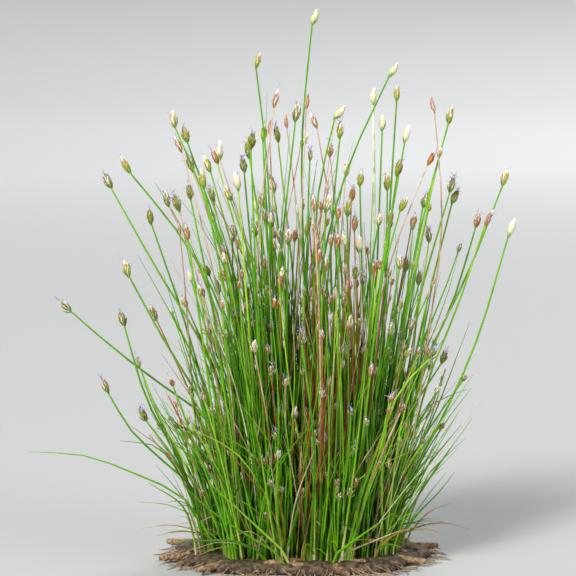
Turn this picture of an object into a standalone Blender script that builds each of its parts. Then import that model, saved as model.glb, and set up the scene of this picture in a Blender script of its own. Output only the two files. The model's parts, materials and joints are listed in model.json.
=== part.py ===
"""A tuft of dwarf hairgrass, cut off flat at the ground.

It stands on the flat underside of its crown, the mat of creeping rhizomes that the shoots grow from. Each shoot is a
short row of thin stems on its own foot of rhizome, and most stems end in one small spikelet, the head.
Units in the tables are millimetres. X runs to the right, Y to the back and Z up, with the origin at the middle of
the cut face.
"""

import itertools
import math
import random

import bmesh
import bpy
import numpy as np
from mathutils import Vector

for old in list(bpy.data.objects):
    bpy.data.objects.remove(old, do_unlink=True)

mm = 0.001

# The crown: an oval mat, cut flat underneath
crownHalfWidth = 28.0
crownHalfDepth = 18.5
crownHeight = 2.6
crownSides = 32
crownRim = ((0.0, 0.985), (0.9, 1.0), (1.9, 0.97), (2.6, 0.90))  # height, and share of the oval at that height
crownLobes = ((5, 0.035, 0.6), (9, 0.025, 2.0))  # number of lobes, how far they stand out, and where they start
rhizomeEnds = (1, 4, 9, 13, 17, 20, 25, 29)  # which faces of the rim have one
rhizomeSteps = ((0.8, 0.3, 0.95), (2.4, 0.8, 0.85), (1.4, 1.0, 0.8))  # reach, and shares of the width and height

# The feet of the shoots stand on the crown, inside this oval
seatGap = 0.3
footHalfWidth = 26.0
footHalfDepth = 16.0
footHeight = 1.0
footTurn = 0.5  # how far a row of stems may turn from the X axis, in radians
footEdge = 0.05  # keeps some depth for the feet at the two ends of the oval
stemPitch = 1.15
stemInset = 0.29

# Stems and heads
sheathRadius = 0.41
stemRadius = 0.27
neckRadius = 0.21
leafTipRadius = 0.08
headLength = 3.8
headRadius = 0.85
headTipRadius = 0.13
headSections = ((0.36, 1.0), (0.7, 0.62))  # share of the way up the head, and share of its widest radius

# A stem has more sections the longer and the more bent it is
spanLength = 32.0
spanBend = 0.5
spanLimits = (2, 6)

# The tips fill a dome that is this wide and deep
plantHeight = 119.0
tipHalfWidth = 62.0
tipHalfDepth = 38.0
domeDrop = 0.6
depthCurve = 1.3
lowestHeight = 1.2  # a leaf that bows down stays this far over the cut
stemDepthSteps = (0.05, -0.05, 0.08, -0.08, 0.12, -0.12, 0.16, -0.16)

# The tables give every stem as it is seen from straight in front, from this far away and this high
viewDistance = 480.0
viewHeight = 110.0

# Stems of different shoots keep this far apart
clearGap = 0.12
siblingGap = 0.02
laneStep = 0.03
laneTries = 40
footShifts = (0, 1.2, -1.2, 2.4, -2.4, 3.6, -3.6)

# Young stems that a shoot has beside those in the table
youngSeed = 5
youngShare = (0.32, 0.72)
youngSpread = 3.5

colours = {
    "green": (0.10, 0.27, 0.03),
    "lime": (0.25, 0.40, 0.05),
    "straw": (0.55, 0.42, 0.22),
    "rust": (0.34, 0.12, 0.05),
    "crown": (0.30, 0.22, 0.13),
}


def stem(colour, head, *points):
    """One stem by hand: its colour, its head and the points (x, height over the crown) that it passes, up to its tip."""
    return {"colour": colour, "head": head, "points": list(points), "tip": points[-1], "reach": 1.0}


# Each shoot: name, x of its foot, place from front (-1) to back (1), number of young stems, its stems left to right
leftShoots = [
    ("left_outer_culm", -11, 0.12, 0,
     [stem("green", "olive", (-15, 25), (-21, 44), (-29.7, 58.7), (-39, 74.8), (-42.9, 83.2))]),
    ("left_high_culm", -8, -0.3, 1,
     [stem("green", "green", (-14, 42), (-18.7, 56), (-26.8, 70), (-35.2, 80), (-39.2, 86.2))]),
    ("left_reaching_culm", -10, 0.42, 1,
     [stem("green", "olive", (-14, 19), (-22, 29.3), (-33.4, 37.8), (-44, 46.6), (-53.2, 55))]),
    ("long_left_leaf", -19, -0.45, 0,
     [stem("green", "none", (-22, 7), (-26.4, 11.7), (-35.2, 16), (-48.4, 20.5), (-60.5, 21))]),
    ("left_plantlet", -21, 0.05, 0,
     [stem("green", "olive", (-24.2, 13.2), (-29.3, 23), (-35, 35.6), (-37.8, 46), (-39.8, 53)),
      stem("lime", "white", (-23.6, 13.8), (-28.6, 23.5), (-33, 33), (-35.5, 40.5), (-36.5, 43.8))]),
    ("plantlet_leaves", -21.5, -0.2, 0,
     [stem("green", "none", (-24.5, 12), (-30.4, 21.5), (-36.3, 23.3), (-40, 23.5)),
      stem("rust", "none", (-24.2, 12.5), (-30, 22), (-34, 25.3), (-37.4, 26.8)),
      stem("green", "olive", (-24, 13), (-30, 23), (-34, 28), (-35.6, 31.5))]),
    ("left_low_culm", -20, 0.45, 0,
     [stem("green", "olive", (-24, 13), (-33, 20.5), (-40, 29.3), (-43.8, 37.8))]),
    ("left_bent_culm", -11, -0.6, 0,
     [stem("green", "green", (-17.6, 24.6), (-25.3, 38.5), (-36, 56.5), (-38.7, 63.8))]),
    ("left_shoot_1", -14, 0.65, 0,
     [stem("rust", "olive", (-22, 28), (-30, 47), (-33, 54)),
      stem("green", "olive", (-21, 35), (-26.4, 52.8), (-31.5, 67), (-33, 75.5)),
      stem("lime", "none", (-20, 32), (-25, 44), (-31.2, 57.2))]),
    ("left_shoot_2", -10, -0.12, 0,
     [stem("straw", "rust", (-16, 45), (-23.5, 80), (-27.4, 91)),
      stem("green", "green", (-14, 48), (-18.7, 71.5), (-26, 88), (-28, 96.8)),
      stem("green", "green", (-12.5, 45), (-17, 67), (-22, 79), (-25.5, 93.5)),
      stem("straw", "olive", (-13, 45), (-19.5, 73), (-22.7, 81), (-24.6, 87))]),
    ("left_shoot_3", -12, 0.3, 1,
     [stem("straw", "olive", (-17, 45), (-23.5, 65.6), (-28.2, 74.5), (-29.7, 79.4)),
      stem("green", "rust", (-15, 35), (-21.3, 61), (-22.2, 63.4))]),
    ("left_shoot_4", -14, -0.75, 0,
     [stem("green", "rust", (-20, 36), (-23.3, 58), (-25.2, 72)),
      stem("straw", "olive", (-18.6, 40), (-24, 67), (-28, 78.3)),
      stem("green", "olive", (-17, 40), (-22.4, 68), (-24.7, 81)),
      stem("green", "green", (-14, 40), (-20.5, 76), (-21.6, 83.4))]),
    ("left_shoot_5", -4, 0.6, 1,
     [stem("green", "green", (-9, 45), (-14.7, 66), (-18.9, 81.4), (-20.9, 86.7)),
      stem("lime", "rust", (-8, 45), (-15.5, 77), (-19.2, 88.5))]),
    ("left_shoot_6", 0, -0.45, 1,
     [stem("straw", "white", (-4.5, 43), (-9.2, 61.6), (-14.5, 75), (-17.2, 83.6), (-17.6, 89.8)),
      stem("green", "green", (-5, 42), (-11.5, 67), (-16.6, 80.5))]),
    ("left_shoot_7", 1, 0.2, 0,
     [stem("straw", "olive", (-4, 40), (-8.8, 56.8), (-15.4, 70.4), (-18.7, 76.5), (-19.8, 80.5)),
      stem("rust", "rust", (-4, 30), (-13, 52), (-17.5, 62.5)),
      stem("lime", "green", (-2.5, 30), (-10.5, 53), (-15, 61.6))]),
    ("left_shoot_8", -9, 0.8, 0,
     [stem("lime", "none", (-15, 28), (-23.8, 42), (-30, 46.9)),
      stem("rust", "rust", (-12, 26), (-18, 44), (-22.4, 49.5))]),
    ("left_shoot_9", -13.5, -0.9, 0,
     [stem("green", "none", (-19, 17), (-27.5, 26.4), (-32.6, 31.2)),
      stem("green", "none", (-17.5, 20), (-23.5, 36), (-27, 46))]),
    ("left_shoot_10", -20.5, 0.7, 0,
     [stem("rust", "rust", (-24, 17), (-26.5, 28), (-28, 34.5)),
      stem("straw", "olive", (-21.5, 10), (-22.6, 20), (-23.3, 28.4))]),
    ("left_short_leaves", -22, -0.8, 0,
     [stem("lime", "none", (-25.5, 9.5), (-30, 12.5), (-33.7, 13.9)),
      stem("straw", "none", (-24, 6), (-25.5, 12), (-28.4, 16)),
      stem("green", "none", (-22.5, 7), (-23.8, 16))]),
    ("left_arching_leaf", -6, -0.55, 1,
     [stem("lime", "none", (-9, 16), (-16, 23), (-25, 26.6))]),
    ("front_arching_leaf", -7, -0.98, 0,
     [stem("green", "none", (-9.5, 3), (-13.2, 3.6), (-20, 3.2), (-26.4, 1.5), (-29.7, 0.4))]),
    ("front_left_leaves", -3, -0.93, 0,
     [stem("green", "none", (-8, 4), (-14.3, 6), (-20.9, 10), (-26.4, 13.6)),
      stem("lime", "none", (-5.5, 4.6), (-11, 8), (-16, 11), (-20.5, 14))]),
]

centreShoots = [
    ("tallest_culm", 3.5, 0.08, 1,
     [stem("green", "white", (2, 40), (0.5, 75), (0.8, 100), (1.8, 112), (4, 118.8))]),
    ("centre_shoot_1", -4, 0.35, 0,
     [stem("green", "green", (-6.5, 73), (-9.5, 104), (-8.6, 109.5)),
      stem("green", "green", (-6.5, 50), (-8, 88), (-7.7, 93.7)),
      stem("straw", "white", (-5.5, 60), (-6.6, 90), (-6.4, 95.3))]),
    ("centre_shoot_2", -9, -0.35, 1,
     [stem("green", "olive", (-9.5, 50), (-10.8, 85), (-10.4, 92)),
      stem("straw", "rust", (-9.5, 50), (-8, 85), (-4.8, 101))]),
    ("centre_shoot_3", 3, 0.55, 0,
     [stem("green", "olive", (-1.6, 45), (-5.4, 77), (-6.5, 82.5)),
      stem("lime", "olive", (0, 45), (-4, 84), (-5.3, 93.5)),
      stem("straw", "white", (1.4, 55), (-1.8, 84), (-3.2, 96.6))]),
    ("centre_shoot_4", -4, -0.15, 1,
     [stem("green", "olive", (-5, 50), (-2.9, 81), (-0.4, 98)),
      stem("straw", "rust", (-1, 50), (1.2, 94), (1.8, 100.8))]),
    ("centre_shoot_5", -1.5, 0.75, 1,
     [stem("green", "olive", (-6, 50), (-10.5, 83), (-11.4, 90)),
      stem("lime", "white", (-5, 40), (-9.2, 73), (-9.7, 78))]),
    ("centre_shoot_6", -7.5, 0.9, 2,
     [stem("straw", "white", (-5.5, 50), (-1.5, 83), (2.2, 92.2))]),
    ("centre_shoot_7", -7.5, -0.7, 1,
     [stem("lime", "white", (-11, 45), (-13.4, 77), (-14.2, 83)),
      stem("green", "olive", (-9, 45), (-12, 80), (-12.8, 87))]),
    ("centre_shoot_8", 12.5, 0.4, 1,
     [stem("straw", "rust", (9, 50), (5.5, 86), (2.2, 96.4)),
      stem("straw", "rust", (10.5, 45), (7, 82), (6.6, 90.4))]),
    ("centre_shoot_9", 6.5, -0.25, 1,
     [stem("green", "white", (3.5, 45), (3.8, 76), (7.3, 94), (10, 97.6)),
      stem("green", "green", (6.8, 60), (8.6, 89), (8.9, 94.4))]),
    ("centre_shoot_10", 4.5, -0.8, 0,
     [stem("green", "olive", (3, 25), (0.8, 40), (0.2, 48.4)),
      stem("straw", "rust", (4.5, 40), (3, 74), (2.9, 77)),
      stem("rust", "white", (4.5, 22), (4.8, 36.4)),
      stem("green", "green", (4.6, 40), (5.4, 71), (6.4, 78)),
      stem("lime", "none", (7, 30), (8, 58))]),
    ("centre_shoot_11", 6.5, 0.85, 1,
     [stem("straw", "white", (7.5, 45), (10, 81), (10.6, 86)),
      stem("rust", "rust", (9.6, 40), (11.4, 76), (11.8, 80))]),
    ("centre_shoot_12", 14, 0.05, 0,
     [stem("green", "green", (11.5, 40), (10.4, 73), (10.8, 76.5)),
      stem("rust", "rust", (12.8, 40), (12, 70), (12.1, 74)),
      stem("green", "green", (14.2, 40), (13.2, 79), (13.5, 83)),
      stem("green", "none", (16, 30), (16.4, 62))]),
    ("centre_shoot_13", 13, -0.5, 0,
     [stem("rust", "white", (12, 45), (10.2, 65), (9.2, 70.6)),
      stem("rust", "white", (12.2, 35), (11.2, 49), (11, 52.4)),
      stem("rust", "olive", (13, 40), (12.2, 60), (12, 63.4)),
      stem("straw", "white", (14, 45), (12.9, 66), (13, 69.3))]),
    ("centre_shoot_14", 14.5, 0.6, 1,
     [stem("lime", "white", (15.2, 44), (16.6, 82), (16, 98), (16.3, 101.6)),
      stem("green", "white", (16.6, 50), (18, 91), (18.2, 95)),
      stem("green", "green", (18, 44), (19.4, 65), (19.2, 83)),
      stem("green", "green", (19, 60), (21, 96), (21.4, 102.5))]),
    ("centre_leaning_culm", 0, 0.25, 1,
     [stem("green", "white", (3.5, 50), (7.5, 75), (13.6, 91.3), (18, 101.5), (21.6, 107))]),
    ("centre_shoot_15", 11, -0.62, 1,
     [stem("green", "olive", (16, 45), (20.5, 78), (22, 86)),
      stem("green", "white", (16.5, 50), (21, 81), (23.8, 93.3))]),
    ("centre_shoot_16", 9, 0.15, 0,
     [stem("rust", "none", (7, 20), (6, 34), (5.6, 42)),
      stem("rust", "olive", (9.2, 22), (9.9, 38.5)),
      stem("straw", "none", (11.5, 20), (15, 34), (11.6, 41))]),
    ("centre_shoot_17", -4, -0.88, 0,
     [stem("lime", "none", (-7.2, 12), (-9.2, 23)),
      stem("lime", "white", (-5.4, 12), (-4.9, 22)),
      stem("straw", "none", (-1, 12), (3, 21))]),
    ("centre_shoot_18", -5.5, 0.02, 0,
     [stem("green", "olive", (-7, 35), (-9.4, 67), (-9.8, 73)),
      stem("lime", "green", (-6.8, 30), (-8.8, 52), (-8.9, 57)),
      stem("green", "rust", (-6, 35), (-7.8, 60), (-8, 65.6)),
      stem("green", "olive", (-5.2, 35), (-6.2, 68), (-6.2, 75))]),
    ("centre_shoot_20", -3, -0.3, 1,
     [stem("rust", "rust", (-4.4, 32), (-4.4, 57), (-4.2, 61.6)),
      stem("green", "olive", (-3.2, 35), (-2.6, 66), (-2.4, 71))]),
    ("centre_shoot_19", -3.5, -0.55, 0,
     [stem("straw", "white", (-6.5, 24), (-10, 43), (-10.3, 46.6)),
      stem("rust", "olive", (-4.8, 22), (-6.3, 37), (-6.1, 41.4)),
      stem("straw", "white", (-3.2, 20), (-3.4, 34), (-2.9, 39)),
      stem("rust", "white", (-1.8, 18), (-1.4, 28), (-1, 32))]),
]

rightShoots = [
    ("right_pale_culm", 21, -0.3, 1,
     [stem("straw", "rust", (28, 45), (31.5, 77), (30.4, 91), (28.4, 99.7))]),
    ("right_shoot_1", 16, 0.3, 0,
     [stem("green", "green", (22, 45), (28.2, 79), (32, 92), (33.2, 97.5)),
      stem("green", "olive", (23, 40), (28.8, 65), (32.4, 77), (33.9, 82.5)),
      stem("green", "olive", (24.6, 36), (30.6, 68), (34.9, 79.8))]),
    ("right_shoot_2", 8.5, -0.42, 1,
     [stem("green", "green", (14.4, 40), (20, 69), (23.8, 78)),
      stem("straw", "rust", (15.8, 45), (22.6, 72), (27.6, 84), (29.9, 88))]),
    ("right_shoot_3", 14.5, 0.78, 0,
     [stem("green", "olive", (18, 35), (23, 60), (23.7, 65)),
      stem("rust", "rust", (19, 38), (24.4, 70), (25.6, 74.4)),
      stem("green", "olive", (20.4, 35), (26, 57), (26.6, 62)),
      stem("green", "olive", (21.6, 40), (26.6, 73), (28.4, 79)),
      stem("lime", "olive", (23.6, 36), (28.3, 66), (28.2, 71.5))]),
    ("right_shoot_4", 14, -0.08, 0,
     [stem("green", "white", (17, 25), (20.2, 46.5), (20.3, 50.6)),
      stem("green", "green", (18.2, 35), (21.8, 61), (22.2, 65.6)),
      stem("lime", "white", (19.6, 26), (22.6, 43.5), (22.8, 47.7)),
      stem("green", "white", (20.8, 28), (24.4, 48), (24.8, 52)),
      stem("lime", "white", (21.6, 24), (25, 38), (25.4, 42))]),
    ("right_high_culms", 15.5, 0.1, 0,
     [stem("green", "rust", (25, 34), (32, 50), (37, 64), (39.4, 74.8)),
      stem("green", "green", (26, 35), (33, 52), (39, 65.5), (43.4, 77), (45.5, 84)),
      stem("lime", "rust", (27.5, 34), (34.6, 53), (40.4, 71), (42.4, 74.8))]),
    ("right_outer_culm", 18.5, -0.2, 0,
     [stem("green", "none", (29, 25), (34.6, 33.4), (38.3, 38.3)),
      stem("green", "white", (24.5, 15.4), (31.2, 28.6), (37.1, 40.7), (41.6, 55), (45.1, 67), (47, 72.6))]),
    ("right_shoot_5", 18, 0.5, 1,
     [stem("green", "olive", (21.5, 20), (26.4, 33.4), (31, 40), (32.6, 44.4)),
      stem("green", "none", (28, 24), (34.5, 38), (37.6, 50.2))]),
    ("right_shoot_6", 14.5, -0.7, 1,
     [stem("lime", "olive", (19, 28), (24.2, 38), (28.6, 42), (30, 45)),
      stem("straw", "none", (20.5, 26), (25.4, 42), (29.5, 49), (33.4, 52.8))]),
    ("right_arching_leaf", 19.5, 0.85, 0,
     [stem("green", "none", (24, 22), (28, 30), (33, 33), (37, 35.2)),
      stem("lime", "rust", (25, 17), (30.5, 25.5), (33.2, 28.4))]),
    ("right_shoot_7", 18, 0.68, 0,
     [stem("green", "white", (20.5, 18), (26.4, 33.4)),
      stem("green", "none", (23, 12), (27.5, 18.2), (31.8, 22)),
      stem("straw", "none", (24, 9), (29, 15), (32, 17.6))]),
    ("right_low_shoot", 22.5, 0.35, 0,
     [stem("lime", "none", (26.5, 11), (30, 16), (33.4, 22)),
      stem("green", "none", (27.5, 8), (33, 13.5), (34.4, 16.5)),
      stem("straw", "none", (27, 5), (31, 8.5), (35, 10))]),
    ("right_shoot_8", 12.5, -0.9, 0,
     [stem("green", "none", (15.8, 5), (20.2, 13.2), (22.6, 19), (25.3, 27.4))]),
    ("front_right_leaves", 9, -0.97, 0,
     [stem("green", "none", (12, 4.2), (15.4, 5.4), (20.5, 7)),
      stem("straw", "none", (13, 2.6), (18, 3.4), (23, 3.4))]),
    ("right_rust_shoot", 10.5, -0.75, 0,
     [stem("lime", "none", (12, 20), (14, 33), (14.8, 44)),
      stem("rust", "none", (15, 20), (20, 31), (23, 44)),
      stem("straw", "rust", (16.4, 18), (21, 27), (23, 33))]),
]


def depthAt(x, height):
    """How far the tips reach to the front and to the back at this place."""
    across = math.sqrt(max(0.0, 1 - (x / tipHalfWidth) ** 2))
    return tipHalfDepth * across * (1 - domeDrop * (height / plantHeight) ** 2)


def footDepthAt(x):
    return footHalfDepth * math.sqrt(max(footEdge, 1 - (x / footHalfWidth) ** 2))


def withYoungStems(stems, footX, count, rng):
    """Adds shorter stems without a head, which lean the way of the shoot's own ones."""
    grown = list(stems)
    for _ in range(count):
        model = rng.choice(stems)
        share = rng.uniform(*youngShare)
        aside = rng.uniform(-youngSpread, youngSpread)
        points = [
            (footX + (x - footX) * share + aside * (i + 1) / len(model["points"]), height * share)
            for i, (x, height) in enumerate(model["points"])
        ]
        young = stem(rng.choice(("green", "green", "lime", "straw")), "none", *points)
        young.update(tip=model["tip"], reach=share)
        grown.insert(0 if aside < 0 else len(grown), young)
    return grown


def smoothPath(points, perSpan=10):
    """Points along a smooth curve through the given ones."""
    ends = [2 * points[0] - points[1], *points, 2 * points[-1] - points[-2]]
    path = [points[0]]
    for before, start, end, after in zip(ends, ends[1:], ends[2:], ends[3:]):
        for step in range(1, perSpan + 1):
            t = step / perSpan
            path.append(
                0.5 * (2 * start + (end - before) * t + (2 * before - 5 * start + 4 * end - after) * t**2
                       + (3 * start - before - 3 * end + after) * t**3)
            )
    return np.array(path)


def stemPath(one, foot, footShare, tipShare):
    """The smooth line of a stem in space, from its foot to its tip."""
    flat = [(foot[0], 0.0), *one["points"]]
    steps = np.hypot(*np.diff(np.array(flat), axis=0).T)
    along = np.concatenate([[0.0], np.cumsum(steps)]) / steps.sum()
    tipY = foot[1] + (tipShare * depthAt(*one["tip"]) - foot[1]) * one["reach"]
    places = [np.array([foot[0], foot[1], crownHeight + seatGap + footHeight])]
    for (x, height), u in zip(flat[1:], along[1:]):
        y = foot[1] + (tipY - foot[1]) * u**depthCurve
        nearness = y / viewDistance
        z = crownHeight + seatGap + height + (height - viewHeight) * nearness * u
        places.append(np.array([x * (1 + nearness), y, max(z, lowestHeight)]))
    return smoothPath(places)


def stemRings(one, path):
    """Centres and radii of the sections of a stem, from its foot to its tip."""
    steps = np.linalg.norm(np.diff(path, axis=0), axis=1)
    along = np.concatenate([[0.0], np.cumsum(steps)])
    length = along[-1]
    head = 0.0 if one["head"] == "none" else headLength
    directions = np.diff(path, axis=0) / steps[:, None]
    bend = np.arccos(np.clip((directions[1:] * directions[:-1]).sum(axis=1), -1, 1)).sum()
    spans = int(np.clip(round(length / spanLength + bend / spanBend), *spanLimits))
    places = [(length - head) * k / spans for k in range(spans + 1)]
    radii = [sheathRadius] + [stemRadius + (neckRadius - stemRadius) * k / spans for k in range(1, spans + 1)]
    if head:
        places += [length - head * (1 - up) for up, _ in headSections] + [length]
        radii += [headRadius * share for _, share in headSections] + [headTipRadius]
    else:
        radii[-1] = leafTipRadius
    centres = np.stack([np.interp(places, along, path[:, axis]) for axis in range(3)], axis=1)
    return centres, np.array(radii)


def segmentsOf(centres, radii):
    return centres[:-1], centres[1:], np.maximum(radii[:-1], radii[1:])


def footSegment(centre, row, count):
    """A shoot's foot as one round segment, a little larger than its block."""
    middle = np.array([*centre, crownHeight + seatGap + footHeight / 2])
    reach = np.array([*row, 0.0]) * ((count - 1) / 2 * stemPitch + 0.01)
    return (middle - reach)[None], (middle + reach)[None], np.array([stemPitch / math.sqrt(2)])


def smallestGap(first, second):
    """The least clear distance between two sets of round segments."""
    startA, endA, radiusA = (part[:, None] for part in first)
    startB, endB, radiusB = (part[None] for part in second)
    alongA, alongB, apart = endA - startA, endB - startB, startA - startB
    a, e = (alongA**2).sum(-1), (alongB**2).sum(-1)
    b, c, f = (alongA * alongB).sum(-1), (alongA * apart).sum(-1), (alongB * apart).sum(-1)
    s = np.clip((b * f - c * e) / np.maximum(a * e - b * b, 1e-9), 0, 1)
    t = np.clip((b * s + f) / e, 0, 1)
    s = np.clip((b * t - c) / a, 0, 1)
    between = apart + alongA * s[..., None] - alongB * t[..., None]
    return (np.linalg.norm(between, axis=-1) - radiusA - radiusB).min()


def placeShoot(footX, share, stems, turn, depthStep):
    """Where a shoot's foot stands, and the sections of each of its stems."""
    footY = share * footDepthAt(footX)
    centre = Vector((footX * (1 + footY / viewDistance), footY))
    row = Vector((math.cos(turn), math.sin(turn)))
    rings = []
    for k, one in enumerate(stems):
        aside = k - (len(stems) - 1) / 2
        foot = centre + row * aside * stemPitch
        path = stemPath(one, foot, share, share + aside * depthStep)
        rings.append(stemRings(one, path))
    return centre, row, rings


def clearShoot(footX, share, stems, turn, grown):
    """Moves a shoot's foot, and its tips apart, a little at a time until its stems are clear of all grown before."""
    best, mostSpare = None, -math.inf
    lanes = [share + laneStep * ((k + 1) // 2) * (-1) ** k for k in range(laneTries)]
    lanes = [lane for lane in lanes if abs(lane) <= 1]
    for depthStep, shift in itertools.product(stemDepthSteps, footShifts):
        for lane in lanes:
            placed = placeShoot(footX + shift, lane, stems, turn, depthStep)
            own = [segmentsOf(*rings) for rings in placed[2]]
            between = [smallestGap(one, other) for i, one in enumerate(own) for other in own[i + 1:]]
            own.append(footSegment(*placed[:2], len(stems)))
            around = [smallestGap(one, grown) for one in own] if grown else []
            spare = min([gap - siblingGap for gap in between] + [gap - clearGap for gap in around], default=1.0)
            if spare > mostSpare:
                best, mostSpare = placed, spare
            if spare > 0:
                return placed
            if between and min(between) < siblingGap:
                break
    return best


def newMaterial(name, colour, roughness):
    material = bpy.data.materials.new(name)
    material.use_nodes = True
    shader = material.node_tree.nodes["Principled BSDF"]
    shader.inputs["Base Color"].default_value = (*colour, 1)
    shader.inputs["Roughness"].default_value = roughness
    shader.inputs["Metallic"].default_value = 0
    return material


def addObject(name, bm, colour, roughness=0.5):
    """Makes the mesh, modelled in millimetres, an object in metres."""
    bmesh.ops.recalc_face_normals(bm, faces=bm.faces)
    bmesh.ops.scale(bm, vec=(mm, mm, mm), verts=bm.verts)
    mesh = bpy.data.meshes.new(name)
    bm.to_mesh(mesh)
    bm.free()
    mesh.materials.append(newMaterial(name, colour, roughness))
    made = bpy.data.objects.new(name, mesh)
    bpy.context.collection.objects.link(made)
    return made


def growFace(bm, face, centres, radii):
    """Extrudes one face along a stem, square to it and as thick as its sections say."""
    centre, direction = face.calc_center_median(), face.normal.copy()
    size = (face.verts[0].co - centre).length
    for i in range(1, len(centres)):
        ahead = Vector(centres[min(i + 1, len(centres) - 1)] - centres[i - 1]).normalized()
        turned = direction.rotation_difference(ahead)
        target = Vector(centres[i])
        face = bmesh.ops.extrude_discrete_faces(bm, faces=[face])["faces"][0]
        for vert in face.verts:
            vert.co = target + turned @ (vert.co - centre) * (radii[i] / size)
        centre, direction, size = target, ahead, radii[i]


def buildShoot(name, centre, row, rings, colour):
    """A foot of rhizome with a square for each stem, which is inset and grown."""
    bm = bmesh.new()
    count = len(rings)
    bmesh.ops.create_grid(bm, x_segments=count, y_segments=1, size=0.5)
    bmesh.ops.scale(bm, vec=(count * stemPitch, stemPitch, 1), verts=bm.verts)
    bottom = list(bm.faces)
    raised = bmesh.ops.extrude_face_region(bm, geom=bottom)["geom"]
    bmesh.ops.translate(bm, vec=(0, 0, footHeight), verts=[g for g in raised if isinstance(g, bmesh.types.BMVert)])
    turn = math.atan2(row[1], row[0])
    for vert in bm.verts:
        x, y = vert.co.x, vert.co.y
        vert.co.x = centre[0] + x * math.cos(turn) - y * math.sin(turn)
        vert.co.y = centre[1] + x * math.sin(turn) + y * math.cos(turn)
        vert.co.z += crownHeight + seatGap
    bmesh.ops.recalc_face_normals(bm, faces=bm.faces)
    tops = [face for face in bm.faces if face.normal.z > 0.9]
    tops.sort(key=lambda face: face.calc_center_median().to_2d().dot(row))
    bmesh.ops.inset_individual(bm, faces=tops, thickness=stemInset)
    for face, (centres, radii) in zip(tops, rings):
        growFace(bm, face, centres, radii)
    return addObject(name, bm, colours[colour])


def ovalAt(angle, share):
    """A point on the crown's lobed outline."""
    lobes = 1 + sum(size * math.sin(number * angle + start) for number, size, start in crownLobes)
    return Vector((crownHalfWidth * math.cos(angle), crownHalfDepth * math.sin(angle))) * share * lobes


def buildCrown():
    """The mat of rhizomes: an oval with a rounded rim, and cut ends of rhizome that stick out of it."""
    bm = bmesh.new()
    bmesh.ops.create_circle(bm, cap_ends=True, segments=crownSides, radius=1)
    underside = next(iter(bm.faces))
    angles = [math.atan2(vert.co.y, vert.co.x) for vert in underside.verts]
    face = underside
    for level, (height, share) in enumerate(crownRim):
        if level == 1:  # the first face stays as the cut underside
            raised = bmesh.ops.extrude_face_region(bm, geom=[face])["geom"]
            face = next(item for item in raised if isinstance(item, bmesh.types.BMFace))
        elif level:
            face = bmesh.ops.extrude_discrete_faces(bm, faces=[face])["faces"][0]
        for vert, angle in zip(face.verts, angles):
            vert.co = (*ovalAt(angle, share), height)
    bmesh.ops.recalc_face_normals(bm, faces=bm.faces)
    low, high = crownRim[1][0], crownRim[2][0]
    rim = [side for side in bm.faces if low < side.calc_center_median().z < high and len(side.verts) == 4]
    rim.sort(key=lambda side: math.atan2(*side.calc_center_median().yx))
    for index in rhizomeEnds:
        side = rim[index]
        outward = Vector((side.normal.x, side.normal.y, 0)).normalized()
        for reach, width, height in rhizomeSteps:
            side = bmesh.ops.extrude_discrete_faces(bm, faces=[side])["faces"][0]
            centre = side.calc_center_median()
            for vert in side.verts:
                away = vert.co - centre
                across = Vector((away.x, away.y, 0)) * width
                vert.co = centre + outward * reach + across + Vector((0, 0, away.z * height))
    return bm


def main():
    addObject("crown", buildCrown(), colours["crown"], 0.8)
    rng = random.Random(youngSeed)
    shoots = []
    for name, footX, share, youngCount, stems in centreShoots + leftShoots + rightShoots:
        turn = rng.uniform(-footTurn, footTurn)
        shoots.append((name, footX, share, withYoungStems(stems, footX, youngCount, rng), turn))
    shoots.sort(key=lambda shoot: -len(shoot[3]))  # the fullest shoots take their places first
    grown = None
    for name, footX, share, stems, turn in shoots:
        centre, row, rings = clearShoot(footX, share, stems, turn, grown)
        own = [segmentsOf(*one) for one in rings] + [footSegment(centre, row, len(stems))]
        parts = own if grown is None else [grown, *own]
        grown = tuple(np.concatenate([part[k] for part in parts]) for k in range(3))
        buildShoot(name, centre, row, rings, stems[0]["colour"])


main()
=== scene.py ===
# Looks of the dwarf hairgrass: round ridged stems, scaled spikelets and the fibrous mat that they grow from
import json
import math
import random

import bmesh
import bpy
from mathutils import Matrix, Quaternion, Vector, noise


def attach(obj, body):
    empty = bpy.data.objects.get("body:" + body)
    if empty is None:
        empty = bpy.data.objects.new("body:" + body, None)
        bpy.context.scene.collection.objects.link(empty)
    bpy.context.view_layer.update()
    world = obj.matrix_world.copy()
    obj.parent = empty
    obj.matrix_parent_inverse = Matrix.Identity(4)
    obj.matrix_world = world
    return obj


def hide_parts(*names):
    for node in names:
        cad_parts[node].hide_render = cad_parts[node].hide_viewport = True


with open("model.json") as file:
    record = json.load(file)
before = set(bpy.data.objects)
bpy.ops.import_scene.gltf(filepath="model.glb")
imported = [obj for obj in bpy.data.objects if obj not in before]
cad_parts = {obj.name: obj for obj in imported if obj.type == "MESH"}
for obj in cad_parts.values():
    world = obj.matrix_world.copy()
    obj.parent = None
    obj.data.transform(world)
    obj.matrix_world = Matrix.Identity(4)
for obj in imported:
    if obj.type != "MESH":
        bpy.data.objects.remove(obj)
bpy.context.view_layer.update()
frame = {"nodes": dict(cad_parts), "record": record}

mm = 0.001
slotOf = {part["node"]: part["material_slot"] for part in frame["record"]["subparts"]}


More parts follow.
